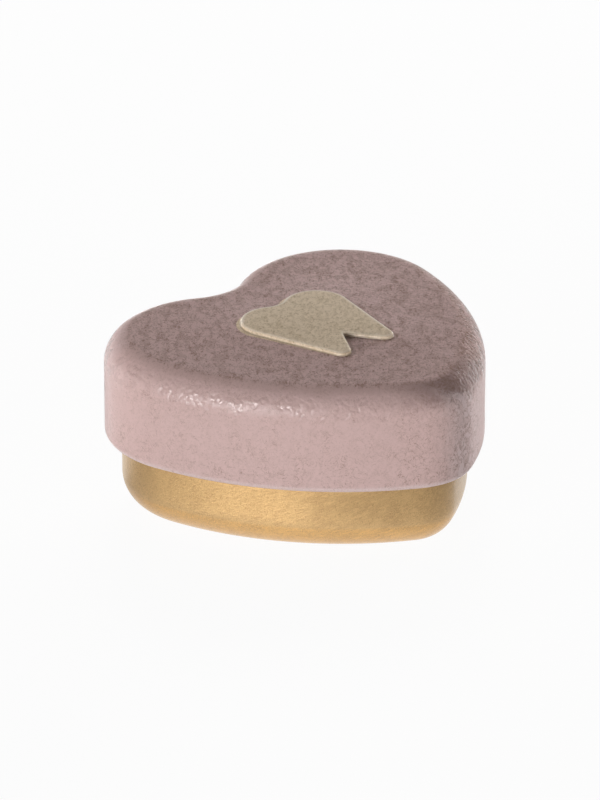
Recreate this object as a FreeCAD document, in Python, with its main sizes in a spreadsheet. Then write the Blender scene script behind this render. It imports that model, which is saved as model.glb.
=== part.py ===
# Heart-shaped slip-lid tin for keeping baby teeth, in millimetres.
# A drawn base cup and a drawn lid that drops over it, with a tooth pressed up out of the lid's top.
# +Z is up, the tin stands on z = 0, the heart's tip points to -Y and its cleft to +Y.

import FreeCAD
import Part
import Sketcher
import math
import os

# Driving dimensions: alias, value in millimetres, meaning.
SIZES = (
    ("lobe_spacing", 26.4, "between the centres of the heart's two lobes"),
    ("lobe_radius", 16.8, "lobe of the lid's outline"),
    ("lobe_to_tip", 28.4, "along the heart's axis, lobe centres to tip centre"),
    ("tip_radius", 10.0, "rounded tip of the lid's outline"),
    ("side_radius", 51.2, "gently bulging sides of the lid's outline"),
    ("cleft_radius", 8.8, "hollow between the lobes of the lid's outline"),
    ("gold_band", 11.4, "height of the base that shows below the closed lid"),
    ("lid_height", 16.3, "lid, from its rolled edge to its top"),
    ("lid_gauge", 0.35, "sheet of the lid"),
    ("lid_edge_radius", 4.6, "rounded top edge of the lid, outside"),
    ("lid_curl_radius", 1.15, "foot of the lid's skirt, rolled inwards, outside"),
    ("slip_clearance", 0.3, "lid's rolled foot to the wall of the base"),
    ("seat_clearance", 0.1, "rim of the base to the inside of the closed lid"),
    ("base_gauge", 0.35, "sheet of the base"),
    ("base_edge_radius", 5.4, "rounded bottom edge of the base, outside"),
    ("rim_curl_radius", 0.9, "rim of the base, rolled inwards, outside"),
    ("curl_gap", 0.22, "left between the end of a rolled edge and its wall"),
    ("tooth_relief", 0.7, "height of the tooth pressed up out of the lid"),
    ("tooth_edge_radius", 0.45, "rounded upper edge of the tooth, outside"),
    ("crown_y", 7.1, "crown centres of the tooth, from the middle of the lid"),
    ("crown_spacing", 8.9, "between the two crown centres"),
    ("crown_radius", 5.1, "each half of the crown"),
    ("dip_radius", 3.7, "dip between the halves of the crown"),
    ("crown_to_root", 14.65, "along the tooth, crown centres to root tip centres"),
    ("root_spacing", 8.8, "between the two root tip centres"),
    ("root_radius", 1.5, "each root tip"),
    ("fork_rise", 3.45, "root tip centres to the centre of the fork between the roots"),
    ("fork_radius", 0.4, "fork between the roots"),
)

# Places that follow from the sizes: alias, formula.
PLACES = (
    ("heart_length", "=sizes.lobe_to_tip + sizes.lobe_radius + sizes.tip_radius"),
    ("lobe_x", "=sizes.lobe_spacing / 2"),
    ("lobe_y", "=heart_length / 2 - sizes.lobe_radius"),
    ("tip_y", "=sizes.tip_radius - heart_length / 2"),
    ("lid_top", "=sizes.gold_band + sizes.lid_height"),
    ("lid_curl_z", "=sizes.gold_band + sizes.lid_curl_radius"),
    ("lid_curl_inside", "=sizes.lid_curl_radius - sizes.lid_gauge"),
    ("rim_curl_inside", "=sizes.rim_curl_radius - sizes.base_gauge"),
    ("skirt_height", "=lid_top - lid_curl_z"),
    ("base_inset", "=2 * sizes.lid_curl_radius + sizes.slip_clearance"),
    # The base's rim bears on the inside of the lid's rounded edge, or on the lid's flat
    # underside if that edge is too small to reach over the rim.
    ("rim_inset", "=base_inset + sizes.rim_curl_radius"),
    ("rim_reach", "=max(sizes.lid_edge_radius - rim_inset; 0)"),
    ("rim_stack", "=sizes.lid_gauge + sizes.seat_clearance + sizes.rim_curl_radius"),
    ("rim_swing", "=sizes.lid_edge_radius - rim_stack"),
    ("rim_rise", "=rim_reach > 0 ? sqrt(rim_swing ^ 2 - rim_reach ^ 2) : rim_swing"),
    ("rim_curl_z", "=lid_top - sizes.lid_edge_radius + rim_rise"),
    # A rolled edge stops short of a full turn, where its end comes near the wall.
    ("lid_curl_turn", "=360 deg - acos((lid_curl_inside - sizes.curl_gap) / sizes.lid_curl_radius)"),
    ("rim_curl_turn", "=360 deg - acos((rim_curl_inside - sizes.curl_gap) / sizes.rim_curl_radius)"),
    # A rounded edge stays within the corner or the wall that it rounds.
    ("base_round", "=min(sizes.base_edge_radius; sizes.tip_radius - base_inset - sizes.base_gauge)"),
    ("tooth_round", "=min(sizes.tooth_edge_radius; 0.9 * sizes.tooth_relief)"),
    ("tooth_top", "=lid_top + sizes.tooth_relief"),
    ("lid_underside", "=lid_top - sizes.lid_gauge"),
    ("crown_x", "=sizes.crown_spacing / 2"),
    ("root_x", "=sizes.root_spacing / 2"),
    ("root_y", "=sizes.crown_y - sizes.crown_to_root"),
    ("fork_y", "=root_y + sizes.fork_rise"),
)

UP = FreeCAD.Vector(0, 0, 1)
# FreeCAD's numbers for the points of a piece of a sketch, and for the sketch's own axes.
START, END, CENTRE = range(1, 4)
H_AXIS, V_AXIS = range(-1, -3, -1)
ORIGIN = (H_AXIS, START)
HALF_TURN = math.pi
FULL_TURN = 2 * math.pi
TOLERANCE = 1e-4


def make_sheets(doc):
    """The driving dimensions and, in a second sheet, the places worked out from them."""
    sizes = doc.addObject("Spreadsheet::Sheet", "sizes")
    for row, (alias, value, meaning) in enumerate(SIZES, 1):
        sizes.set(f"A{row}", meaning)
        sizes.set(f"B{row}", str(value))
        sizes.setAlias(f"B{row}", alias)
    doc.recompute()
    places = doc.addObject("Spreadsheet::Sheet", "places")
    for row, (alias, formula) in enumerate(PLACES, 1):
        places.set(f"A{row}", alias)
        places.set(f"B{row}", formula)
        places.setAlias(f"B{row}", alias)
        doc.recompute()


def value_of(body, expression):
    """The number that an expression on the sheets stands for now."""
    return float(body.evalExpression(expression))


def direction(start, end):
    """Angle of the line from start to end."""
    return math.atan2(end.y - start.y, end.x - start.x)


def on_circle(centre, radius, angle):
    """The point of a circle at an angle."""
    return centre + FreeCAD.Vector(radius * math.cos(angle), radius * math.sin(angle), 0)


def mirrored(point):
    """The point on the other side of the heart's axis."""
    return FreeCAD.Vector(-point.x, point.y, 0)


class Drawing:
    """A sketch on one of its body's own planes, whose dimensions are bound to the sheets."""

    def __init__(self, body, name, plane, height="0 mm"):
        self.body = body
        self.sketch = body.newObject("Sketcher::SketchObject", name)
        support = next(f for f in body.Origin.OriginFeatures if f.Role == plane)
        self.sketch.AttachmentSupport = (support, [""])
        self.sketch.MapMode = "FlatFace"
        self.sketch.setExpression("AttachmentOffset.Base.z", height)

    def number(self, expression):
        return value_of(self.body, expression)

    def point(self, x, y):
        return FreeCAD.Vector(self.number(x), self.number(y), 0)

    def arc(self, centre, radius, start, end):
        """A counter-clockwise arc between two angles."""
        end += FULL_TURN * math.ceil((start - end) / FULL_TURN)
        circle = Part.Circle(centre, UP, radius)
        return self.sketch.addGeometry(Part.ArcOfCircle(circle, start, end), False)

    def line(self, start, end):
        return self.sketch.addGeometry(Part.LineSegment(start, end), False)

    def hold(self, kind, *where):
        self.sketch.addConstraint(Sketcher.Constraint(kind, *where))

    def size(self, name, kind, *where, to):
        """A named dimension that follows an expression on the sheets."""
        number = self.number(to)
        if kind == "Angle":
            number = math.radians(number)
        index = self.sketch.addConstraint(Sketcher.Constraint(kind, *where, number))
        self.sketch.renameConstraint(index, name)
        self.sketch.setExpression(f"Constraints.{name}", to)

    def place(self, name, point, x, y):
        """Fixes a point of the sketch at two expressions."""
        self.size(f"{name}_x", "DistanceX", *ORIGIN, *point, to=x)
        self.size(f"{name}_y", "DistanceY", *ORIGIN, *point, to=y)

    def place_on_axis(self, name, point, y):
        """Fixes a point of the sketch on the heart's axis."""
        self.hold("PointOnObject", *point, V_AXIS)
        self.size(f"{name}_y", "DistanceY", *ORIGIN, *point, to=y)

    def match(self, right, left):
        """Makes the left one of two arcs the mirror image of the right one."""
        self.hold("Symmetric", right, CENTRE, left, CENTRE, V_AXIS)
        self.hold("Equal", right, left)

    def chain(self, *joints):
        """Smooth joints, each between the ends of two neighbouring pieces of an outline."""
        for joint in joints:
            self.hold("Tangent", *joint)


def heart_sketch(body, name, height, inset):
    """The heart drawn inset inside the lid's outline: six arcs, each tangent to the next."""
    drawing = Drawing(body, name, "XY_Plane", height)
    lobe_size = f"sizes.lobe_radius - ({inset})"
    tip_size = f"sizes.tip_radius - ({inset})"
    side_size = f"sizes.side_radius - ({inset})"
    cleft_size = f"sizes.cleft_radius + ({inset})"
    lobe_radius = drawing.number(lobe_size)
    tip_radius = drawing.number(tip_size)
    side_radius = drawing.number(side_size)
    cleft_radius = drawing.number(cleft_size)
    lobe = drawing.point("places.lobe_x", "places.lobe_y")
    tip = drawing.point("0", "places.tip_y")
    # A side's centre is where two circles cross: one about the tip, one about the lobe.
    from_tip = side_radius - tip_radius
    from_lobe = side_radius - lobe_radius
    span = lobe - tip
    along = (from_tip**2 - from_lobe**2 + span.Length**2) / (2 * span.Length)
    across = math.sqrt(from_tip**2 - along**2)
    axis = span / span.Length
    side = tip + axis * along + FreeCAD.Vector(-axis.y, axis.x, 0) * across
    cleft = lobe + FreeCAD.Vector(-lobe.x, math.sqrt((lobe_radius + cleft_radius) ** 2 - lobe.x**2), 0)

    low = direction(side, tip)
    high = direction(side, lobe)
    inner = direction(lobe, cleft)
    tip_arc = drawing.arc(tip, tip_radius, HALF_TURN - low, low)
    right_side = drawing.arc(side, side_radius, low, high)
    left_side = drawing.arc(mirrored(side), side_radius, HALF_TURN - high, HALF_TURN - low)
    right_lobe = drawing.arc(lobe, lobe_radius, high, inner)
    left_lobe = drawing.arc(mirrored(lobe), lobe_radius, HALF_TURN - inner, HALF_TURN - high)
    cleft_arc = drawing.arc(cleft, cleft_radius, -inner, HALF_TURN + inner)

    drawing.chain(
        (tip_arc, END, right_side, START),
        (right_side, END, right_lobe, START),
        (right_lobe, END, cleft_arc, END),
        (cleft_arc, START, left_lobe, START),
        (left_lobe, END, left_side, START),
        (left_side, END, tip_arc, START),
    )
    drawing.place("lobe", (right_lobe, CENTRE), "places.lobe_x", "places.lobe_y")
    drawing.place_on_axis("tip", (tip_arc, CENTRE), "places.tip_y")
    drawing.match(right_lobe, left_lobe)
    drawing.hold("Equal", right_side, left_side)
    drawing.size("lobe_radius", "Radius", right_lobe, to=lobe_size)
    drawing.size("tip_radius", "Radius", tip_arc, to=tip_size)
    drawing.size("side_radius", "Radius", right_side, to=side_size)
    drawing.size("cleft_radius", "Radius", cleft_arc, to=cleft_size)
    return drawing.sketch


def edges_at(feature, height):
    """Names of a feature's edges that lie flat at a height."""
    names = []
    for index, edge in enumerate(feature.Shape.Edges, 1):
        box = edge.BoundBox
        if max(abs(box.ZMin - height), abs(box.ZMax - height)) < TOLERANCE:
            names.append(f"Edge{index}")
    return names


def face_at(feature, height):
    """Name of a feature's flat face at a height."""
    for index, face in enumerate(feature.Shape.Faces, 1):
        if isinstance(face.Surface, Part.Plane) and abs(face.CenterOfMass.z - height) < TOLERANCE:
            return f"Face{index}"
    raise RuntimeError(f"{feature.Name} has no flat face at z = {height}")


def pad(doc, body, name, sketch, length):
    """A sketch raised to a length."""
    feature = body.newObject("PartDesign::Pad", name)
    feature.Profile = sketch
    feature.setExpression("Length", length)
    doc.recompute()
    return feature


def round_edges(doc, body, name, feature, height, radius):
    """A feature with its edges at a height rounded over."""
    rounded = body.newObject("PartDesign::Fillet", name)
    rounded.Base = (feature, edges_at(feature, value_of(body, height)))
    rounded.setExpression("Radius", radius)
    doc.recompute()
    return rounded


def pocket_upwards(doc, body, name, sketch, depth):
    """A sketch cut upwards to a depth."""
    before = body.Shape.Volume
    cut = body.newObject("PartDesign::Pocket", name)
    cut.Profile = sketch
    cut.Reversed = True
    cut.setExpression("Length", depth)
    doc.recompute()
    if body.Shape.Volume >= before:
        raise RuntimeError(f"{name} cuts nothing")


def hollow(doc, body, name, feature, height, gauge):
    """A feature drawn out to a sheet of one gauge, open at its flat face at a height."""
    shell = body.newObject("PartDesign::Thickness", name)
    shell.Base = (feature, [face_at(feature, value_of(body, height))])
    shell.setExpression("Value", gauge)
    shell.Reversed = True
    doc.recompute()
    if shell.Shape.Volume >= feature.Shape.Volume:
        raise RuntimeError(f"{name} is not hollow")


def roll_edge(doc, body, name, inset, height, radius, inside, turn, upwards):
    """Rolls a shell's open edge inwards, all along the outline of its wall.

    The section is an open ring in the plane of symmetry, where the wall crosses the tip. It
    starts as the wall's own thickness and runs over the top, or else under the bottom.
    """
    path = heart_sketch(body, f"{name}_path", height, inset)
    section = Drawing(body, f"{name}_section", "YZ_Plane")
    centre_y = f"places.tip_y - sizes.tip_radius + ({inset}) + {radius}"
    centre = section.point(centre_y, height)
    outer_radius = section.number(radius)
    inner_radius = section.number(inside)
    swept = math.radians(section.number(turn))
    wall = HALF_TURN
    first_angle, last_angle = (wall - swept, wall) if upwards else (wall, wall + swept)
    outer = section.arc(centre, outer_radius, first_angle, last_angle)
    inner = section.arc(centre, inner_radius, first_angle, last_angle)
    ends = []
    for angle, arc_end in ((first_angle, START), (last_angle, END)):
        end = section.line(on_circle(centre, inner_radius, angle), on_circle(centre, outer_radius, angle))
        section.hold("Coincident", inner, arc_end, end, START)
        section.hold("Coincident", outer, arc_end, end, END)
        section.hold("PointOnObject", outer, CENTRE, end)
        ends.append(end)
    section.hold("Coincident", inner, CENTRE, outer, CENTRE)
    section.hold("Horizontal", ends[1] if upwards else ends[0])
    section.place("ring", (outer, CENTRE), centre_y, height)
    section.size("outside", "Radius", outer, to=radius)
    section.size("inside", "Radius", inner, to=inside)
    section.size("turn", "Angle", outer, to=turn)
    doc.recompute()

    roll = body.newObject("PartDesign::AdditivePipe", name)
    roll.Profile = section.sketch
    roll.Spine = (path, [])
    doc.recompute()


def base_cup(doc):
    """The gold base: a drawn cup whose rim is rolled inwards, so that no raw edge is left."""
    body = doc.addObject("PartDesign::Body", "base_cup")
    outline = heart_sketch(body, "base_outline", "0 mm", "places.base_inset")
    blank = pad(doc, body, "base_blank", outline, "places.rim_curl_z")
    rounded = round_edges(doc, body, "base_edge", blank, "0", "places.base_round")
    hollow(doc, body, "base_wall", rounded, "places.rim_curl_z", "sizes.base_gauge")
    roll_edge(
        doc, body, "base_rim", "places.base_inset", "places.rim_curl_z",
        "sizes.rim_curl_radius", "places.rim_curl_inside", "places.rim_curl_turn", upwards=True,
    )
    return body


def tooth_sketch(body, name, height, inset):
    """The tooth drawn inset: a two-cusped crown, straight flanks and two roots that fork."""
    drawing = Drawing(body, name, "XY_Plane", height)
    crown_size = f"sizes.crown_radius - ({inset})"
    dip_size = f"sizes.dip_radius + ({inset})"
    root_size = f"sizes.root_radius - ({inset})"
    fork_size = f"sizes.fork_radius + ({inset})"
    crown = drawing.point("places.crown_x", "sizes.crown_y")
    root = drawing.point("places.root_x", "places.root_y")
    fork = drawing.point("0", "places.fork_y")
    crown_radius = drawing.number(crown_size)
    dip_radius = drawing.number(dip_size)
    root_radius = drawing.number(root_size)
    fork_radius = drawing.number(fork_size)
    dip = crown + FreeCAD.Vector(-crown.x, math.sqrt((crown_radius + dip_radius) ** 2 - crown.x**2), 0)
    # Angles at which the outline leaves its circles. A flank has both of its circles on one
    # side; the inner edge of a root passes between its circles.
    cusp = direction(crown, dip)
    taper = math.asin((crown_radius - root_radius) / (crown - root).Length)
    flank = direction(root, crown) - HALF_TURN / 2 - taper
    inner = direction(root, fork) + math.acos((root_radius + fork_radius) / (fork - root).Length)

    right_crown = drawing.arc(crown, crown_radius, flank, cusp)
    left_crown = drawing.arc(mirrored(crown), crown_radius, HALF_TURN - cusp, HALF_TURN - flank)
    dip_arc = drawing.arc(dip, dip_radius, -cusp, HALF_TURN + cusp)
    right_root = drawing.arc(root, root_radius, inner, flank)
    left_root = drawing.arc(mirrored(root), root_radius, HALF_TURN - flank, HALF_TURN - inner)
    fork_arc = drawing.arc(fork, fork_radius, inner - HALF_TURN, FULL_TURN - inner)
    flank_ends = (on_circle(root, root_radius, flank), on_circle(crown, crown_radius, flank))
    inner_ends = (on_circle(root, root_radius, inner), on_circle(fork, -fork_radius, inner))
    right_flank = drawing.line(*flank_ends)
    left_flank = drawing.line(*map(mirrored, flank_ends))
    right_inner = drawing.line(*inner_ends)
    left_inner = drawing.line(*map(mirrored, inner_ends))

    drawing.chain(
        (right_flank, END, right_crown, START),
        (right_crown, END, dip_arc, END),
        (dip_arc, START, left_crown, START),
        (left_crown, END, left_flank, END),
        (left_flank, START, left_root, START),
        (left_root, END, left_inner, START),
        (left_inner, END, fork_arc, END),
        (fork_arc, START, right_inner, END),
        (right_inner, START, right_root, START),
        (right_root, END, right_flank, START),
    )
    drawing.place("crown", (right_crown, CENTRE), "places.crown_x", "sizes.crown_y")
    drawing.place("root", (right_root, CENTRE), "places.root_x", "places.root_y")
    drawing.place_on_axis("fork", (fork_arc, CENTRE), "places.fork_y")
    drawing.match(right_crown, left_crown)
    drawing.match(right_root, left_root)
    drawing.size("crown_radius", "Radius", right_crown, to=crown_size)
    drawing.size("dip_radius", "Radius", dip_arc, to=dip_size)
    drawing.size("root_radius", "Radius", right_root, to=root_size)
    drawing.size("fork_radius", "Radius", fork_arc, to=fork_size)
    return drawing.sketch


def lid_shell(doc):
    """The lid: a drawn cap with a rounded top edge and a tooth pressed up out of its top.

    The tooth is hollow underneath, so that the sheet keeps its gauge. The foot of the skirt is
    rolled inwards.
    """
    body = doc.addObject("PartDesign::Body", "lid_shell")
    outline = heart_sketch(body, "lid_outline", "places.lid_curl_z", "0")
    blank = pad(doc, body, "lid_blank", outline, "places.skirt_height")
    rounded = round_edges(doc, body, "lid_edge", blank, "places.lid_top", "sizes.lid_edge_radius")
    hollow(doc, body, "lid_wall", rounded, "places.lid_curl_z", "sizes.lid_gauge")
    roll_edge(
        doc, body, "lid_foot", "0", "places.lid_curl_z",
        "sizes.lid_curl_radius", "places.lid_curl_inside", "places.lid_curl_turn", upwards=False,
    )
    outside = tooth_sketch(body, "tooth_outside", "places.lid_top", "0")
    raised = pad(doc, body, "tooth_raised", outside, "sizes.tooth_relief")
    round_edges(doc, body, "tooth_edge", raised, "places.tooth_top", "places.tooth_round")
    inside = tooth_sketch(body, "tooth_inside", "places.lid_underside", "sizes.lid_gauge")
    pocket_upwards(doc, body, "tooth_hollow", inside, "sizes.tooth_relief")
    return body


def check(doc, bodies):
    """Stops if a feature failed, a sketch is loose, or a piece is not one sound solid."""
    for item in doc.Objects:
        if "Invalid" in item.State or "Error" in item.State:
            raise RuntimeError(f"{item.Name} failed: {item.State}")
        if item.TypeId == "Sketcher::SketchObject" and not item.FullyConstrained:
            raise RuntimeError(f"{item.Name} is not fully constrained")
    for body in bodies:
        shape = body.Shape
        if shape.isNull() or not shape.isValid() or len(shape.Solids) != 1:
            raise RuntimeError(f"{body.Label} is not one sound solid")


def main():
    doc = FreeCAD.newDocument("tooth_tin")
    make_sheets(doc)
    bodies = [base_cup(doc), lid_shell(doc)]
    doc.recompute()
    check(doc, bodies)
    os.makedirs("parts", exist_ok=True)
    for body in bodies:
        body.Shape.exportStep(f"parts/{body.Label}.step")
        box = body.Shape.optimalBoundingBox()
        size = " x ".join(f"{length:.2f}" for length in (box.XLength, box.YLength, box.ZLength))
        print(f"{body.Label}: {size} mm from z = {box.ZMin:.2f}, {body.Shape.Volume:.1f} mm3")


main()
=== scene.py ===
import math

import bmesh
import bpy
from mathutils import Matrix, Vector


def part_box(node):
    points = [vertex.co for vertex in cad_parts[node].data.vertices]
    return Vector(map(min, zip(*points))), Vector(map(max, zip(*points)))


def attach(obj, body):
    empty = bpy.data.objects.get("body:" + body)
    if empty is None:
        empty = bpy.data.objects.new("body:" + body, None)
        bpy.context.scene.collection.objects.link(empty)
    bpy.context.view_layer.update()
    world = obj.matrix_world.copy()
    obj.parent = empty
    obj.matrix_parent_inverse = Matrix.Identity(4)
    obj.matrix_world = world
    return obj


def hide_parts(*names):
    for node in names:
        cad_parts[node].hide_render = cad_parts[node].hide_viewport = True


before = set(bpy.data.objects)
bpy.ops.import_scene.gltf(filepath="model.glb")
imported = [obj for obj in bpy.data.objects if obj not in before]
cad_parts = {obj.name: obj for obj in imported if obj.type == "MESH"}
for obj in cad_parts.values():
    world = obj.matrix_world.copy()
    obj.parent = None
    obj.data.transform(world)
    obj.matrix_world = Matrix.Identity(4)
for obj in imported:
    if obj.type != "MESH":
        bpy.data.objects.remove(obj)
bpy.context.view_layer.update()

# A heart-shaped slip-lid tin: a rose printed lid with a cream tooth pressed up out of it, on a gold base.
# Sizes are in metres, in the frame of the CAD model: the heart's tip points to -Y and its cleft to +Y.
LID_LOW, LID_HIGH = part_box("lid_shell")
BASE_LOW, BASE_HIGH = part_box("base_cup")

MM = 0.001
RIGHT_ANGLE = math.pi / 2
UP = Vector((0, 0, 1))
ACROSS = Vector((1, 0, 0))

# The heart that the lid is drawn to
LOBE_RADIUS = 16.8 * MM
TIP_RADIUS = 10.0 * MM
SIDE_RADIUS = 51.2 * MM
CLEFT_RADIUS = 8.8 * MM
LOBE = Vector((LID_HIGH.x - LOBE_RADIUS, LID_HIGH.y - LOBE_RADIUS, 0))
TIP = Vector((0, LID_LOW.y + TIP_RADIUS, 0))

# The two drawn sheets
SHEET = 0.35 * MM
LID_EDGE = 4.6 * MM
LID_ROLL = 1.15 * MM
LID_ROLL_TURN = math.radians(300)
BASE_EDGE = 5.4 * MM
BASE_INSET = LID_HIGH.x - BASE_HIGH.x
RIM_ROLL = 0.9 * MM
RIM_ROLL_TURN = math.radians(290)

# The tooth pressed up out of the lid
TOOTH_RELIEF = 0.7 * MM
TOOTH_EDGE = 0.45 * MM
TOOTH_FOOT = 0.2 * MM
CROWN = Vector((4.45, 7.1, 0)) * MM
CROWN_RADIUS = 5.1 * MM
DIP_RADIUS = 3.7 * MM
ROOT = Vector((4.4, -7.55, 0)) * MM
ROOT_RADIUS = 1.5 * MM
FORK = Vector((0, -4.1, 0)) * MM
FORK_RADIUS = 0.4 * MM
LID_TOP = LID_HIGH.z - TOOTH_RELIEF

# Fineness of the meshes
ROUND_STEP = 0.45 * MM
EDGE_STEP = 0.28 * MM
FINE_STEP = 0.12 * MM
MERGE = 0.001 * MM
FLAT = 0.01 * MM
SHARP = math.radians(40)

# The camera of the photograph
VIEW_AZIMUTH = math.radians(-43.674)
VIEW_ELEVATION = math.radians(24.677)
VIEW_DISTANCE = 1.2647
VIEW_AIM = Vector((2.97, 9.15, 11.97)) * MM
VIEW_LENS = 372.5
VIEW_END = 10.0


def direction(start, end):
    """Angle of the line from start to end, seen from above."""
    return math.atan2(end.y - start.y, end.x - start.x)


def ray(angle):
    """The level unit vector at an angle."""
    return Vector((math.cos(angle), math.sin(angle), 0))


# Drawing with arcs and straight runs


def arc(centre, radius, angle, step):
    """A turn about a centre, in steps of about one length along its radius."""
    steps = max(1, round(radius * abs(angle) / step))
    return {"cent": centre, "angle": angle, "dvec": Vector(), "steps": steps}


def run(shift, step):
    """A straight move, in steps of about one length."""
    steps = max(1, round(shift.length / step))
    return {"cent": Vector(), "angle": 0.0, "dvec": shift / steps, "steps": steps}


def add_skin(mesh, start, section, outline, material):
    """Draws a section in the plane of symmetry, carries it round an outline and adds the skin it leaves.

    The skin is made by itself first, because a spin takes longer the more there is around it.
    """
    skin = bmesh.new()
    end = [skin.verts.new(start)]
    for part in section:
        end = bmesh.ops.spin(skin, geom=end, axis=ACROSS, **part)["geom_last"]
    front = skin.verts[:] + skin.edges[:]
    for part in outline:
        front = bmesh.ops.spin(skin, geom=front, axis=UP, **part)["geom_last"]
    for face in skin.faces:
        face.material_index = material
    data = bpy.data.meshes.new("skin")
    skin.to_mesh(data)
    skin.free()
    mesh.from_mesh(data)
    bpy.data.meshes.remove(data)


def half_heart(step):
    """Half of the heart, from its tip to its cleft. Every inset outline has the same centres."""
    from_tip = SIDE_RADIUS - TIP_RADIUS
    from_lobe = SIDE_RADIUS - LOBE_RADIUS
    span = LOBE - TIP
    along = (from_tip**2 - from_lobe**2 + span.length_squared) / (2 * span.length)
    axis = span.normalized()
    side = TIP + axis * along + UP.cross(axis) * math.sqrt(from_tip**2 - along**2)
    cleft = LOBE + Vector((-LOBE.x, math.sqrt((LOBE_RADIUS + CLEFT_RADIUS) ** 2 - LOBE.x**2), 0))
    low = direction(side, TIP)
    high = direction(side, LOBE)
    inner = direction(LOBE, cleft)
    return [
        arc(TIP, TIP_RADIUS, low + RIGHT_ANGLE, step),
        arc(side, SIDE_RADIUS, high - low, step),
        arc(LOBE, LOBE_RADIUS, inner - high, step),
        arc(cleft, CLEFT_RADIUS, RIGHT_ANGLE - inner, step),
    ]


class Tooth:
    """Angles and centres of the tooth's right half, from the dip in its crown to its fork."""

    dip = CROWN + Vector((-CROWN.x, math.sqrt((CROWN_RADIUS + DIP_RADIUS) ** 2 - CROWN.x**2), 0))
    cusp = direction(CROWN, dip)
    taper = math.asin((CROWN_RADIUS - ROOT_RADIUS) / (CROWN - ROOT).length)
    flank = direction(ROOT, CROWN) - RIGHT_ANGLE - taper
    inner = direction(ROOT, FORK) + math.acos((ROOT_RADIUS + FORK_RADIUS) / (FORK - ROOT).length)


def half_tooth(step):
    """Half of the tooth's outline, from the dip in its crown to the fork between its roots."""
    round_root = (Tooth.flank - Tooth.inner) % (4 * RIGHT_ANGLE)
    flank_run = ROOT - CROWN - (CROWN_RADIUS - ROOT_RADIUS) * ray(Tooth.flank)
    inner_run = FORK - ROOT - (FORK_RADIUS + ROOT_RADIUS) * ray(Tooth.inner)
    return [
        arc(Tooth.dip, DIP_RADIUS, Tooth.cusp - RIGHT_ANGLE, step),
        arc(CROWN, CROWN_RADIUS, Tooth.flank - Tooth.cusp, step),
        run(flank_run, step),
        arc(ROOT, ROOT_RADIUS, -round_root, step),
        run(inner_run, step),
        arc(FORK, FORK_RADIUS, 3 * RIGHT_ANGLE - Tooth.inner, step),
    ]


# The two pieces of sheet

OUTSIDE, INSIDE = range(2)


def sheet_side(depth):
    """Which material a skin has, by its depth in the sheet."""
    return INSIDE if depth else OUTSIDE


def add_drawn_wall(mesh, inset, closed, edge, opened, roll, turn, facing):
    """Both skins of a drawn wall: its rounded edge at the closed end, its rolled one at the open end.

    facing is 1 where the closed end is above the open one, and -1 where it is below.
    """

    def at(into, height):
        return Vector((0, LID_LOW.y + inset + into, height))

    rounding = at(edge, closed - facing * edge)
    ring = at(roll, opened)
    wall = at(0, opened) - at(0, rounding.z)
    lip = Matrix.Rotation(facing * turn, 3, "X") @ Vector((0, SHEET, 0))
    for depth in (0.0, SHEET):
        path = [
            arc(rounding, edge - depth, facing * RIGHT_ANGLE, EDGE_STEP),
            run(wall, ROUND_STEP),
            arc(ring, roll - depth, facing * turn, EDGE_STEP),
        ]
        if depth == 0.0:
            path.append(run(lip, SHEET))
        start = at(edge, closed - facing * depth)
        add_skin(mesh, start, path, half_heart(ROUND_STEP), sheet_side(depth))


def add_tooth_wall(mesh):
    """Both skins of the pressed tooth's wall, with a hollow foot and a rounded upper edge."""

    def at(into, height):
        return Vector((0, Tooth.dip.y - DIP_RADIUS - into, height))

    foot = at(-TOOTH_FOOT, LID_TOP + TOOTH_FOOT)
    rounding = at(TOOTH_EDGE, LID_TOP + TOOTH_RELIEF - TOOTH_EDGE)
    rise = Vector((0, 0, rounding.z - foot.z))
    for depth in (0.0, SHEET):
        path = [
            arc(foot, TOOTH_FOOT + depth, -RIGHT_ANGLE, FINE_STEP),
            run(rise, FINE_STEP),
            arc(rounding, TOOTH_EDGE - depth, RIGHT_ANGLE, FINE_STEP),
        ]
        start = at(-TOOTH_FOOT, LID_TOP - depth)
        add_skin(mesh, start, path, half_tooth(EDGE_STEP), sheet_side(depth))


def fill_level(mesh, height, material):
    """Fills the open outlines at one height with a flat face, which keeps its holes."""
    rim = [e for e in mesh.edges if e.is_boundary and all(abs(v.co.z - height) < FLAT for v in e.verts)]
    filled = bmesh.ops.triangle_fill(mesh, edges=rim, use_beauty=True, use_dissolve=False, normal=UP)
    for item in filled["geom"]:
        if isinstance(item, bmesh.types.BMFace):
            item.material_index = material


def finish_sheet(name, mesh, levels, materials):
    """Mirrors a half piece, closes its flat faces and makes an object of it."""
    everything = mesh.verts[:] + mesh.edges[:] + mesh.faces[:]
    bmesh.ops.mirror(mesh, geom=everything, matrix=Matrix(), merge_dist=MERGE, axis="X")
    bmesh.ops.remove_doubles(mesh, verts=mesh.verts[:], dist=MERGE)
    for height, material in levels:
        fill_level(mesh, height, material)
    bmesh.ops.recalc_face_normals(mesh, faces=mesh.faces[:])
    for face in mesh.faces:
        face.smooth = True
    data = bpy.data.meshes.new(name)
    mesh.to_mesh(data)
    mesh.free()
    data.set_sharp_from_angle(angle=SHARP)
    for material in materials:
        data.materials.append(material)
    piece = bpy.data.objects.new(name, data)
    bpy.context.scene.collection.objects.link(piece)
    return piece


def make_lid(materials):
    """The printed lid, with the tooth pressed up out of its top."""
    mesh = bmesh.new()
    add_drawn_wall(mesh, 0.0, LID_TOP, LID_EDGE, LID_LOW.z + LID_ROLL, LID_ROLL, LID_ROLL_TURN, 1)
    add_tooth_wall(mesh)
    levels = [(top - depth, sheet_side(depth)) for top in (LID_TOP, LID_HIGH.z) for depth in (0.0, SHEET)]
    return finish_sheet("lid", mesh, levels, materials)


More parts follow.
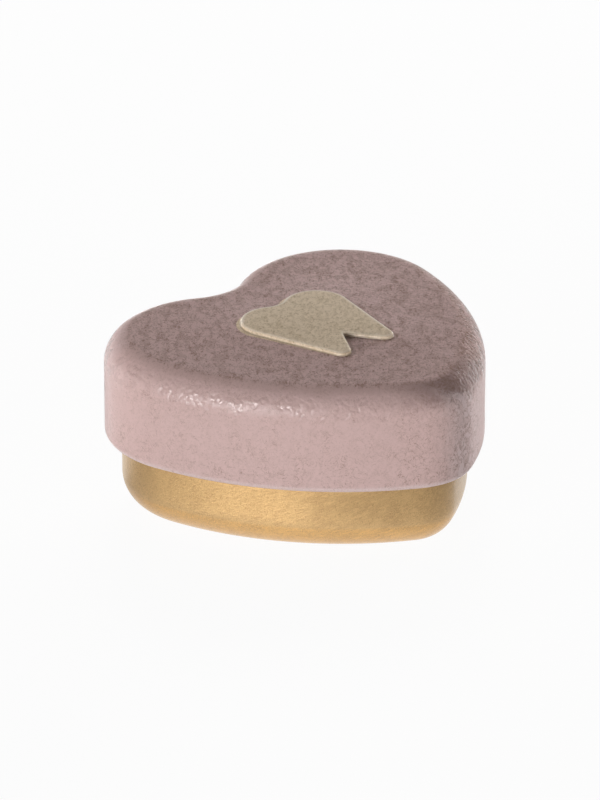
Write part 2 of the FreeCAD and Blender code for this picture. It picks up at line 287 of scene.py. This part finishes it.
def make_base(materials):
    """The gold base cup."""
    mesh = bmesh.new()
    rim = BASE_HIGH.z - RIM_ROLL
    add_drawn_wall(mesh, BASE_INSET, BASE_LOW.z, BASE_EDGE, rim, RIM_ROLL, RIM_ROLL_TURN, -1)
    levels = [(BASE_LOW.z + depth, sheet_side(depth)) for depth in (0.0, SHEET)]
    return finish_sheet("base", mesh, levels, materials)


# Shader trees

# A Mix node's sockets for colours, which share their names with its sockets for numbers
MIX_FIRST, MIX_SECOND, MIX_COLOUR = 6, 7, 2

# The value that a noise swings about
MIDDLE = 0.5


class Socket:
    """A socket that takes part in Python arithmetic: each operation adds a Math node."""

    def __init__(self, shader, socket):
        self.shader = shader
        self.socket = socket

    def math(self, operation, *values):
        return self.shader.node("ShaderNodeMath", {"operation": operation}, dict(enumerate(values)))

    def __add__(self, other):
        return self.math("ADD", self, other)

    def __radd__(self, other):
        return self.math("ADD", other, self)

    def __sub__(self, other):
        return self.math("SUBTRACT", self, other)

    def __rsub__(self, other):
        return self.math("SUBTRACT", other, self)

    def __mul__(self, other):
        return self.math("MULTIPLY", self, other)

    def __rmul__(self, other):
        return self.math("MULTIPLY", other, self)

    def __abs__(self):
        return self.math("ABSOLUTE", self)

    def hypotenuse(self, other):
        square = self * self + other * other
        return square.math("SQRT", square)

    def least(self, other):
        return self.math("MINIMUM", self, other)

    def most(self, other):
        return self.math("MAXIMUM", self, other)


class Shader:
    """A node tree, built from Python calls."""

    def __init__(self, tree):
        self.tree = tree
        tree.nodes.clear()

    def node(self, kind, settings, sockets, out=0):
        """Adds a node: its settings first, then a value or a link for each socket."""
        made = self.tree.nodes.new(kind)
        for name, value in settings.items():
            setattr(made, name, value)
        for name, value in sockets.items():
            if isinstance(value, Socket):
                self.tree.links.new(value.socket, made.inputs[name])
            else:
                made.inputs[name].default_value = value
        return Socket(self, made.outputs[out]) if made.outputs else None

    def noise(self, place, scale, detail=2.0, roughness=0.5, distortion=0.0, out=0):
        sockets = {"Vector": place, "Scale": scale, "Detail": detail, "Roughness": roughness}
        return self.node("ShaderNodeTexNoise", {}, {**sockets, "Distortion": distortion}, out)

    def rise(self, value, low, high):
        """0 below low, 1 above high and a smooth step between them. A low above high turns it round."""
        settings = {"interpolation_type": "SMOOTHSTEP", "clamp": True}
        sockets = {"Value": value, "From Min": low, "From Max": high}
        return self.node("ShaderNodeMapRange", settings, sockets)

    def band(self, value, start, full, fade, end):
        """0 before start and after end, 1 from full to fade, and smooth steps between them."""
        return self.rise(value, start, full) * self.rise(value, end, fade)

    def lines(self, noise, width, core=0.0):
        """Thin lines where a noise passes its middle: full up to the core, and gone at the width."""
        return self.rise(abs(noise - MIDDLE), width, core)

    def mix(self, amount, first, second):
        """From one colour to another."""
        sockets = {"Factor": amount, MIX_FIRST: first, MIX_SECOND: second}
        return self.node("ShaderNodeMix", {"data_type": "RGBA", "clamp_factor": True}, sockets, MIX_COLOUR)

    def millimetres(self, stretch=(1, 1, 1), turn=(0, 0, 0), shift=(0, 0, 0)):
        """The place on the piece in millimetres, stretched, turned and shifted."""
        place = self.node("ShaderNodeTexCoord", {}, {}, out="Object")
        scale = Vector(stretch) / MM
        sockets = {"Vector": place, "Location": shift, "Rotation": turn, "Scale": scale}
        return self.node("ShaderNodeMapping", {"vector_type": "POINT"}, sockets)

    def turned(self, turn, stretch):
        """The place on the piece in millimetres, turned first, so that a stretched pattern runs one way."""
        place = self.node("ShaderNodeTexCoord", {}, {}, out="Object")
        sockets = {"Vector": place, "Rotation": turn, "Scale": [MM / amount for amount in stretch]}
        return self.node("ShaderNodeMapping", {"vector_type": "TEXTURE"}, sockets)

    def axes(self, place):
        return [self.node("ShaderNodeSeparateXYZ", {}, {"Vector": place}, out=axis) for axis in "XYZ"]

    def bump(self, height):
        """A normal from a height in millimetres."""
        return self.node("ShaderNodeBump", {}, {"Height": height, "Distance": MM, "Strength": 1.0})

    def light_path(self, kind):
        """1 for rays of one kind, 0 for the others."""
        return self.node("ShaderNodeLightPath", {}, {}, out=kind)

    def seen_directly(self):
        """1 for rays from the camera, in a reflection or through glass, 0 for light that bounces on."""
        reflected = self.light_path("Is Glossy Ray").most(self.light_path("Is Transmission Ray"))
        return self.light_path("Is Camera Ray").most(reflected)


def srgb(red, green, blue):
    """A colour from its values on a screen, 0 to 255."""

    def linear(value):
        value /= 255
        return value / 12.92 if value <= 0.04045 else ((value + 0.055) / 1.055) ** 2.4

    return (linear(red), linear(green), linear(blue), 1.0)


def new_shader(name):
    material = bpy.data.materials.new(name)
    material.use_nodes = True
    return material, Shader(material.node_tree)


def output(shader, surface):
    shader.node("ShaderNodeOutputMaterial", {}, {"Surface": surface})


# The finishes, with sizes in millimetres

ROSE = srgb(209, 179, 175)
ROSE_BROWN = srgb(150, 120, 107)
# Rose for painted shade on the tip's rounding
ROSE_TIP_SHADE = srgb(134, 110, 105)
# Pale rose for painted highlights on the lip and knobs, and for pale edges that are partly wear and partly
# painted sheen
ROSE_WEAR_AND_HIGHLIGHT = srgb(224, 204, 203)
CREAM = srgb(234, 214, 188)
CREAM_TAN = srgb(190, 167, 134)
# Pale cream for painted highlights on the tooth's rims
CREAM_HIGHLIGHT = srgb(242, 230, 214)
# Dark brown for painted shade around the tooth, and for the print's dots on the shoulder
SHADE_AND_DOT_BROWN = srgb(112, 94, 78)
GOLD = srgb(219, 182, 128)
# Amber for a painted reflection of the floor on the base's foot
GOLD_FLOOR_REFLECTION = srgb(228, 182, 115)
GOLD_DARK = srgb(189, 152, 102)

# How the patterns lie
GRAIN_TURN = (0, 0, math.radians(-44))
GRAIN_STRETCH = (1.0, 0.58, 1.0)
CRAZE_STRETCH = (0.7, 0.7, 0.55)
PEBBLE_STRAY = (0.5, 0.5, 0.5)
PEBBLE_SCALE = 1.35
PEBBLE_ROUNDING = 0.35
PEBBLE_VALLEY = 0.16
BRUSH_TURN = (0, math.radians(-22), math.radians(-44))
BRUSH_STRETCH = (0.25, 2.0, 2.0)

# Zones of the lid, from start to full and from fade to end: heights over the flat of its top
TOP_EDGE = (-0.35, -0.03)
# Painted shade just under the edge of the top
BROW_SHADE_HEIGHT = (-1.1, -0.4, -0.08, -0.005)
ROUNDING = (-6.0, -3.6, -1.6, -0.4)
SHOULDER = (-4.6, -3.0, -0.5, 0.0)
# Painted highlight on the shoulder's knobs
KNOB_HIGHLIGHT_HEIGHT = (-0.7, -2.2)
# Painted shade on the tip's rounding
TIP_SHADE_HEIGHT = (-4.2, -1.6, -0.3, -0.005)
# Heights over its foot
LOW_SKIRT = (9, 3)
# Painted highlight along the lip
LIP_HIGHLIGHT_HEIGHT = (1.3, 0.6)
# Lengths from its tip
TIP_REACH = (6, 2)
# Reach of the painted shade from the tip
TIP_SHADE_REACH = (9, 3)
# Places across and along it
# Where the painted shade by the tip lies across
TIP_SHADE_ACROSS = (-11, -1)
FLANK_ACROSS = (-4, 2)
# Where pale edges lie on the lobes, partly wear and partly painted sheen
LOBES_ACROSS = (19, 23)
LOBES_ALONG = (15, 19)
# The side where the top's brown net runs over the edge onto the shoulder: print, and painted shade on that
# shoulder
NET_AND_SHADE_SIDE = ray(math.radians(-18))
NET_AND_SHADE_ACROSS = (3, 13)
NET_AND_SHADE_OVERHANG = 2.6

# Zones of the tooth, as heights over the flat of the lid's top
LEVEL = (-0.5, -0.2)
RAISED = (0.02, 0.1)
RIM_HIGHLIGHT_HEIGHT = (0.5, 0.6)
ROUNDED = (0.6, 0.69)
# Painted shade in the crease at the tooth's foot
CREASE_SHADE_HEIGHT = (0.004, 0.03, 0.1, 0.36)
# Painted shade by the fork
FORK_SHADE_HEIGHT = (0.3, 0.6)
# Lengths from its edge or its fork
PRINT_EDGE = (0.06, -0.06)
PRINT_WOBBLE = 0.16
# Painted highlights on the tooth's rims, all round and on the far side
RIM_HIGHLIGHT_EDGE = (-0.55, -0.2)
FAR_RIM_HIGHLIGHT_EDGE = (-0.75, -0.5)
# Painted shadow beside the tooth
SHADOW_EDGE = (0.35, -0.1)
# Reach of the painted shade by the fork
FORK_SHADE_REACH = (1.9, 0.4)
# Places across and along it
# Where the painted highlight on the far rim lies
FAR_RIM_HIGHLIGHT_ACROSS = (5, 6)
FAR_RIM_HIGHLIGHT_ALONG = (9, 10)
# How far its print and its painted shadow lie out of place
PRINT_TURN = (0, 0, math.radians(-2.3))
PRINT_SHIFT = (0.36, -0.36, 0)
SHADOW_SHIFT = (-0.43, 0.41, 0)

# Height of the amber band on the base's foot, a painted reflection of the floor
FLOOR_REFLECTION_HEIGHT = (4.7, 3.9)


def tooth_distance(shader, place):
    """Distance in millimetres from the tooth's edge, below 0 inside it."""
    x, y, _ = shader.axes(place)
    x = abs(x)

    def beyond(point, angle, reach):
        """How far past a line that faces an angle, at a reach from a point."""
        facing = ray(angle)
        return (x - point.x / MM) * facing.x + (y - point.y / MM) * facing.y - reach / MM

    def off_circle(centre, radius):
        return (x - centre.x / MM).hypotenuse(y - centre.y / MM) - radius / MM

    crown = off_circle(CROWN, CROWN_RADIUS)
    root = off_circle(ROOT, ROOT_RADIUS)
    flank = beyond(CROWN, Tooth.flank, CROWN_RADIUS)
    inner = beyond(ROOT, Tooth.inner, ROOT_RADIUS)
    body = flank.most(inner).most(y - CROWN.y / MM).most(ROOT.y / MM - y)
    left_of_cusp = beyond(CROWN, Tooth.cusp - RIGHT_ANGLE, 0.0)
    under_dip = (0 - off_circle(Tooth.dip, DIP_RADIUS)).most(left_of_cusp).most(CROWN.y / MM - y)
    return crown.least(root).least(body).least(under_dip)


class LidZones:
    """Masks of where the lid's print, wear, painted shade and painted highlights lie, each from 0 to 1."""

    def __init__(self, shader, place):
        x, y, z = shader.axes(place)
        up = z - LID_TOP / MM
        from_foot = z - LID_LOW.z / MM
        from_tip = y - LID_LOW.y / MM
        # On one side the brown net runs over the edge: print, and painted shade on that shoulder
        net_and_shade_side = shader.rise(x * NET_AND_SHADE_SIDE.x + y * NET_AND_SHADE_SIDE.y, *NET_AND_SHADE_ACROSS)
        self.top = shader.rise(up + net_and_shade_side * NET_AND_SHADE_OVERHANG, *TOP_EDGE)
        # Painted shade just under the edge of the top
        self.brow_shade = shader.band(up, *BROW_SHADE_HEIGHT)
        self.rounding = shader.band(up, *ROUNDING)
        self.tip = shader.rise(from_tip, *TIP_REACH)
        self.shoulder = net_and_shade_side * shader.band(up, *SHOULDER)
        self.dotted = self.shoulder * (1 - self.tip)
        # Painted highlight on the shoulder's knobs
        self.knob_highlight_zone = self.dotted * shader.rise(up, *KNOB_HIGHLIGHT_HEIGHT)
        # Painted shade on the tip's rounding
        near_tip = shader.rise(from_tip, *TIP_SHADE_REACH) * shader.rise(x, *TIP_SHADE_ACROSS)
        self.tip_shade = near_tip * shader.band(up, *TIP_SHADE_HEIGHT)
        self.flank = self.tip * shader.rise(x, *FLANK_ACROSS)
        # Pale edges on the lobes, partly wear and partly painted sheen
        self.lobes = shader.rise(y, *LOBES_ALONG) * shader.rise(abs(x), *LOBES_ACROSS)
        self.low = shader.rise(from_foot, *LOW_SKIRT)
        # Painted highlight along the lip
        self.lip = shader.rise(from_foot, *LIP_HIGHLIGHT_HEIGHT)


class ToothZones:
    """Masks of where the tooth's print, painted rim highlights, painted shade and painted shadow lie, each
    from 0 to 1.
    """

    def __init__(self, shader, place):
        x, y, z = shader.axes(place)
        up = z - LID_TOP / MM
        edge = tooth_distance(shader, place)
        print_edge = tooth_distance(shader, shader.millimetres(turn=PRINT_TURN, shift=PRINT_SHIFT))
        shadow_edge = tooth_distance(shader, shader.millimetres(shift=SHADOW_SHIFT))
        wobble = (shader.noise(place, scale=1.2) - MIDDLE) * PRINT_WOBBLE
        raised = shader.rise(up, *RAISED)
        on_flat = shader.rise(print_edge + wobble, *PRINT_EDGE) * shader.rise(up, *LEVEL)
        self.printed = on_flat.most(raised)
        self.rounded = shader.band(up, *RAISED, *ROUNDED)
        # Painted highlight on the tooth's rim, all round
        self.rim = shader.rise(edge, *RIM_HIGHLIGHT_EDGE) * shader.rise(up, *RIM_HIGHLIGHT_HEIGHT)
        # Painted highlight on the tooth's far rim
        far_side = shader.rise(x, *FAR_RIM_HIGHLIGHT_ACROSS).most(shader.rise(y, *FAR_RIM_HIGHLIGHT_ALONG))
        self.rim_highlights = far_side * shader.rise(edge, *FAR_RIM_HIGHLIGHT_EDGE) * raised
        # Painted shade in the crease at the tooth's foot
        self.crease_shade = shader.band(up, *CREASE_SHADE_HEIGHT)
        # Painted shade by the fork
        near_fork = shader.rise(x.hypotenuse(y - FORK.y / MM), *FORK_SHADE_REACH)
        self.fork = near_fork * shader.band(up, *LEVEL, *FORK_SHADE_HEIGHT)
        # Painted shadow beside the tooth, offset to one side
        self.painted_shade = shader.rise(shadow_edge, *SHADOW_EDGE) * shader.band(up, *LEVEL, *RAISED)


def pebbles(shader, place, grained):
    """How far a place is from the middle of its pebble, and a mask of the valleys between the pebbles."""
    drift = shader.noise(grained, scale=0.9, detail=3, out="Color")
    sockets = {0: drift, 1: PEBBLE_STRAY, 2: place}
    stray = shader.node("ShaderNodeVectorMath", {"operation": "MULTIPLY_ADD"}, sockets)
    cells = {"Vector": stray, "Scale": PEBBLE_SCALE}
    rounded = {**cells, "Smoothness": PEBBLE_ROUNDING}
    pebble = shader.node("ShaderNodeTexVoronoi", {"feature": "SMOOTH_F1"}, rounded, out="Distance")
    seam = shader.node("ShaderNodeTexVoronoi", {"feature": "DISTANCE_TO_EDGE"}, cells, out="Distance")
    return pebble, shader.rise(seam, PEBBLE_VALLEY, 0.0)


class PrintPatterns:
    """Patterns of the lid's print: noises, and marks that run from 0 to 1."""

    def __init__(self, shader, place):
        grained = shader.turned(GRAIN_TURN, GRAIN_STRETCH)
        crazed = shader.millimetres(stretch=CRAZE_STRETCH)
        self.grain = shader.noise(grained, scale=3.4, detail=3, roughness=0.65)
        self.mottle = shader.noise(place, scale=1.5, detail=4, roughness=0.65, distortion=0.4)
        craze = shader.noise(crazed, scale=1.4, detail=4, roughness=0.6, distortion=0.8)
        blotches = shader.noise(grained, scale=0.75, detail=5, roughness=0.68, distortion=0.3)
        veins = shader.noise(grained, scale=0.8, detail=4, roughness=0.62, distortion=0.6)
        freckles = shader.noise(grained, scale=1.2, detail=5, roughness=0.7)
        hairs = shader.noise(place, scale=0.6, detail=5, roughness=0.65, distortion=0.8)
        patches = shader.noise(place, scale=0.33, detail=3, roughness=0.6)
        bumps = shader.noise(place, scale=0.4)

        self.speck = shader.rise(self.grain, 0.55, 0.64)
        # Grain of the painted highlight along the lip
        self.lip_highlight_grain = shader.rise(self.grain, 0.36, 0.52)
        self.dot = shader.rise(self.mottle, 0.53, 0.62)
        self.knob = shader.rise(self.mottle, 0.5, 0.4)
        self.scuff = shader.rise(craze, 0.35, 0.65)
        self.crack = shader.lines(craze, width=0.045, core=0.005)
        self.blotch = shader.rise(blotches, 0.48, 0.56)
        self.vein = shader.lines(veins, width=0.035)
        self.freckle = shader.rise(freckles, 0.46, 0.58)
        self.hair = shader.lines(hairs, width=0.018)
        self.patch = shader.rise(patches, 0.42, 0.6)
        self.bump = shader.rise(bumps, 0.42, 0.54)
        self.pebble, self.valley = pebbles(shader, place, grained)


def rose_colour(shader, zones, pattern):
    """Rose with a brown net on its top and hair cracks on its skirt. Painted shade darkens the tip's
    rounding, the band under the top's edge and one shoulder; painted highlights lighten the lip and the
    knobs; the pale flank and lobes are partly wear and partly painted sheen.

    In the colours, the factor on a mark or a mask is how strongly it shows.
    """
    valleys = pattern.valley * zones.dotted
    net = pattern.blotch * 0.35 + pattern.vein * 0.5 + pattern.speck * 0.55 + valleys * 0.2
    spread = pattern.patch * 0.5 + zones.low * 0.3 + zones.tip * 0.4 + 0.15
    crackle = (pattern.hair * 0.65 + pattern.vein * 0.25) * spread
    side = crackle + pattern.blotch * 0.06 + pattern.speck * 0.2 + pattern.crack * zones.flank * 0.45
    # The brow term is painted shade under the top's edge; the rest is print
    brown = zones.top * net + (1 - zones.top) * side + zones.brow_shade * 0.14
    printed = shader.mix(brown, ROSE, ROSE_BROWN)
    # Painted shade on the tip's rounding
    tip_shaded = shader.mix(zones.tip_shade * 0.6, printed, ROSE_TIP_SHADE)

    # Painted highlight along the lip
    lip = zones.lip * pattern.lip_highlight_grain
    # Painted highlight on the shoulder's knobs
    knob_highlights = zones.knob_highlight_zone * pattern.knob
    # Pale scuffs on the flank and lobes: partly wear, partly painted sheen at the edges
    scuff_and_sheen_zone = zones.flank.most(zones.lobes * 0.5) * (1 - zones.top) * (1 - pattern.crack)
    scuffs_and_sheen = scuff_and_sheen_zone * (pattern.scuff * 0.4 + 0.5)
    return shader.mix((lip * 0.7).most(scuffs_and_sheen * 0.85).most(knob_highlights * 0.75), tip_shaded, ROSE_WEAR_AND_HIGHLIGHT)


def lid_colour(shader, zones, tooth, pattern):
    """The rose with the cream tooth printed on it, with painted highlights on its rims, painted shade in its
    creases and by its fork, and a painted shadow beside it.
    """
    tan = pattern.freckle * 0.35 + pattern.vein * 0.3 + pattern.speck * 0.7
    cream = shader.mix(tan, CREAM, CREAM_TAN)
    printed = shader.mix(tooth.printed, rose_colour(shader, zones, pattern), cream)
    # Painted highlights on the tooth's rims
    rim_highlights = shader.mix((tooth.rim * 0.4).most(tooth.rim_highlights * 0.7), printed, CREAM_HIGHLIGHT)
    # Painted shade in the creases and by the fork, and a painted shadow beside the tooth
    painted_shade = (tooth.crease_shade * 0.45).most(tooth.fork * 0.8).most(tooth.painted_shade * 0.45)
    return shader.mix(painted_shade.most(pattern.dot * zones.dotted * 0.7), rim_highlights, SHADE_AND_DOT_BROWN)


def rose_print():
    """Mottled rose print on a pebbled sheet, with a cream tooth, under a satin varnish.

    In the heights, the factors are millimetres.
    """
    material, shader = new_shader("rose_print")
    place = shader.millimetres()
    zones = LidZones(shader, place)
    tooth = ToothZones(shader, place)
    pattern = PrintPatterns(shader, place)
    grain = pattern.grain - MIDDLE
    mottle = pattern.mottle - MIDDLE
    glints = zones.rounding * pattern.bump
    relief = (glints * 0.09 + zones.shoulder * 0.05 + zones.top * 0.03 + 0.03) * (1 - tooth.printed * 0.85)
    height = grain * 0.02 - mottle * zones.shoulder * 0.2 - relief * pattern.pebble
    sockets = {
        "Base Color": lid_colour(shader, zones, tooth, pattern),
        "Roughness": 0.45 - glints * 0.24 - tooth.rounded * 0.2 + grain * 0.3,
        "Specular IOR Level": 0.4,
        "Sheen Weight": 0.8,
        "Sheen Roughness": 0.15,
        "Normal": shader.bump(height),
    }
    output(shader, shader.node("ShaderNodeBsdfPrincipled", {}, sockets))
    return material


def gold_lacquer():
    """Satin gold lacquer, finely speckled, with faint brush marks that rise to one side."""
    material, shader = new_shader("gold_lacquer")
    place = shader.millimetres()
    z = shader.axes(place)[2]
    brushing = shader.turned(BRUSH_TURN, BRUSH_STRETCH)
    speckles = shader.noise(place, scale=5.0, roughness=0.7)
    clouds = shader.noise(place, scale=0.3, detail=3)
    strokes = shader.noise(brushing, scale=1.8, detail=4, roughness=0.7, distortion=0.4)
    speck = shader.rise(speckles, 0.6, 0.72)
    mark = shader.lines(strokes, width=0.02) * shader.rise(clouds, 0.42, 0.58)
    speckle = speckles - MIDDLE
    cloud = clouds - MIDDLE
    stroke = strokes - MIDDLE
    dark = mark * 0.7 + stroke * 1.9 + speckle * 1.2 + cloud * 0.4 + speck * 0.9 + 0.26
    # The amber band at the foot is a painted reflection of the floor
    ground = shader.mix(shader.rise(z, *FLOOR_REFLECTION_HEIGHT), GOLD, GOLD_FLOOR_REFLECTION)
    sockets = {
        "Base Color": shader.mix(dark, ground, GOLD_DARK),
        "Metallic": 0.95,
        "Coat Weight": 0.7,
        "Coat Roughness": 0.2,
        "Roughness": 0.5 + speckle * 0.3,
        "Normal": shader.bump(speckle * 0.035 + stroke * 0.08 - mark * 0.01),
    }
    output(shader, shader.node("ShaderNodeBsdfPrincipled", {}, sockets))
    return material


# The studio

WHITE = (1.0, 1.0, 1.0, 1.0)

# The floor: its size in metres, its levels, and the reach of its light in millimetres
FLOOR_RADIUS = 3.0
FLOOR_SIDES = 96
FLOOR_GAP = 0.05 * MM
FLOOR_GREY = (0.9, 0.9, 0.9, 1.0)
FLOOR_GLOW = 0.95
FLOOR_BOUNCE = 0.5
POOL = (50, 22)
POOL_OUTSIDE = 0.28
BEHIND = (-2, -12)
BEHIND_TURN = math.radians(9)

# The surround: the rise from its wall to its ceiling, and its levels
CEILING = (0.05, 0.25)
CEILING_DIM = 0.9
WORLD_BOUNCE = 0.03

LAMP_DISTANCE = 0.9


def view_back(azimuth, elevation):
    """The unit vector from the tin towards a place on the studio's dome."""
    level = math.cos(elevation)
    return Vector((math.sin(azimuth) * level, -math.cos(azimuth) * level, math.sin(elevation)))


def white_floor():
    """White to the camera. The tin mirrors a pool of light under it and the floor behind it."""
    material, shader = new_shader("white_floor")
    x, y, _ = shader.axes(shader.millimetres())
    pool = shader.rise(x.hypotenuse(y), *POOL) * (1 - POOL_OUTSIDE) + POOL_OUTSIDE
    towards = view_back(VIEW_AZIMUTH + BEHIND_TURN, 0.0)
    behind = shader.rise(x * towards.x + y * towards.y, *BEHIND)
    seen = shader.seen_directly()
    level = pool.most(behind) * seen + (1 - seen) * FLOOR_BOUNCE
    strength = level.most(shader.light_path("Is Camera Ray"))
    glow = shader.node("ShaderNodeEmission", {}, {"Color": WHITE, "Strength": strength})
    lit = shader.node("ShaderNodeBsdfDiffuse", {}, {"Color": FLOOR_GREY})
    output(shader, shader.node("ShaderNodeMixShader", {}, {0: FLOOR_GLOW, 1: lit, 2: glow}))
    return material


def make_floor():
    """A wide white floor that keeps the tin's shadow."""
    mesh = bmesh.new()
    bmesh.ops.create_circle(mesh, cap_ends=True, segments=FLOOR_SIDES, radius=FLOOR_RADIUS)
    bmesh.ops.translate(mesh, verts=mesh.verts[:], vec=Vector((0, 0, BASE_LOW.z - FLOOR_GAP)))
    data = bpy.data.meshes.new("floor")
    mesh.to_mesh(data)
    mesh.free()
    data.materials.append(white_floor())
    floor = bpy.data.objects.new("floor", data)
    bpy.context.scene.collection.objects.link(floor)


def make_world():
    """A surround that is white to the camera, with a dim ceiling for reflections and little bounced light."""
    world = bpy.data.worlds.new("studio")
    bpy.context.scene.world = world
    world.use_nodes = True
    shader = Shader(world.node_tree)
    height = shader.axes(shader.node("ShaderNodeTexCoord", {}, {}, out="Generated"))[2]
    level = 1 - shader.rise(height, *CEILING) * CEILING_DIM
    dimmed = level * (shader.seen_directly() * (1 - WORLD_BOUNCE) + WORLD_BOUNCE)
    strength = dimmed.most(shader.light_path("Is Camera Ray"))
    light = shader.node("ShaderNodeBackground", {}, {"Color": WHITE, "Strength": strength})
    shader.node("ShaderNodeOutputWorld", {}, {"Surface": light})


def make_lamp(name, azimuth, elevation, size, power, distance=LAMP_DISTANCE, gloss=True, diffuse=True):
    """A square soft lamp that faces the tin, turned from the camera by an azimuth in degrees.

    gloss and diffuse say whether it is mirrored in the tin and whether it lights it.
    """
    data = bpy.data.lights.new(name, "AREA")
    data.size = size
    data.energy = power
    back = view_back(VIEW_AZIMUTH + math.radians(azimuth), math.radians(elevation))
    lamp = bpy.data.objects.new(name, data)
    lamp.location = VIEW_AIM + back * distance
    lamp.rotation_euler = back.to_track_quat("Z", "Y").to_euler()
    lamp.visible_glossy = gloss
    lamp.visible_diffuse = diffuse
    bpy.context.scene.collection.objects.link(lamp)


def make_lamps():
    make_lamp("key", azimuth=-34, elevation=5, size=0.5, power=7.45)
    make_lamp("fill", azimuth=46, elevation=4, size=0.5, power=2.9, gloss=False)
    make_lamp("top", azimuth=178, elevation=38, size=0.43, power=5.14, distance=1.0, gloss=False)
    make_lamp("left_panel", azimuth=-111, elevation=3, size=0.3, power=4.8, gloss=False)
    make_lamp("right_panel", azimuth=142, elevation=2, size=0.3, power=11.5, gloss=False)
    make_lamp("strip", azimuth=-28, elevation=15, size=0.25, power=1.25, diffuse=False)


def make_camera():
    data = bpy.data.cameras.new("camera")
    data.lens = VIEW_LENS
    data.clip_end = VIEW_END
    back = view_back(VIEW_AZIMUTH, VIEW_ELEVATION)
    camera = bpy.data.objects.new("camera", data)
    camera.location = VIEW_AIM + back * VIEW_DISTANCE
    camera.rotation_euler = back.to_track_quat("Z", "Y").to_euler()
    bpy.context.scene.collection.objects.link(camera)
    bpy.context.scene.camera = camera


def main():
    rose = rose_print()
    gold = gold_lacquer()
    for piece, node, body, slot in (
        (make_lid([rose, gold]), "lid_shell", "lid", "rose_print"),
        (make_base([gold, gold]), "base_cup", "base", "gold_lacquer"),
    ):
        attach(piece, body)
        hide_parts(node)
    make_floor()
    make_world()
    make_lamps()
    make_camera()
    bpy.context.scene.view_settings.view_transform = "Standard"


main()
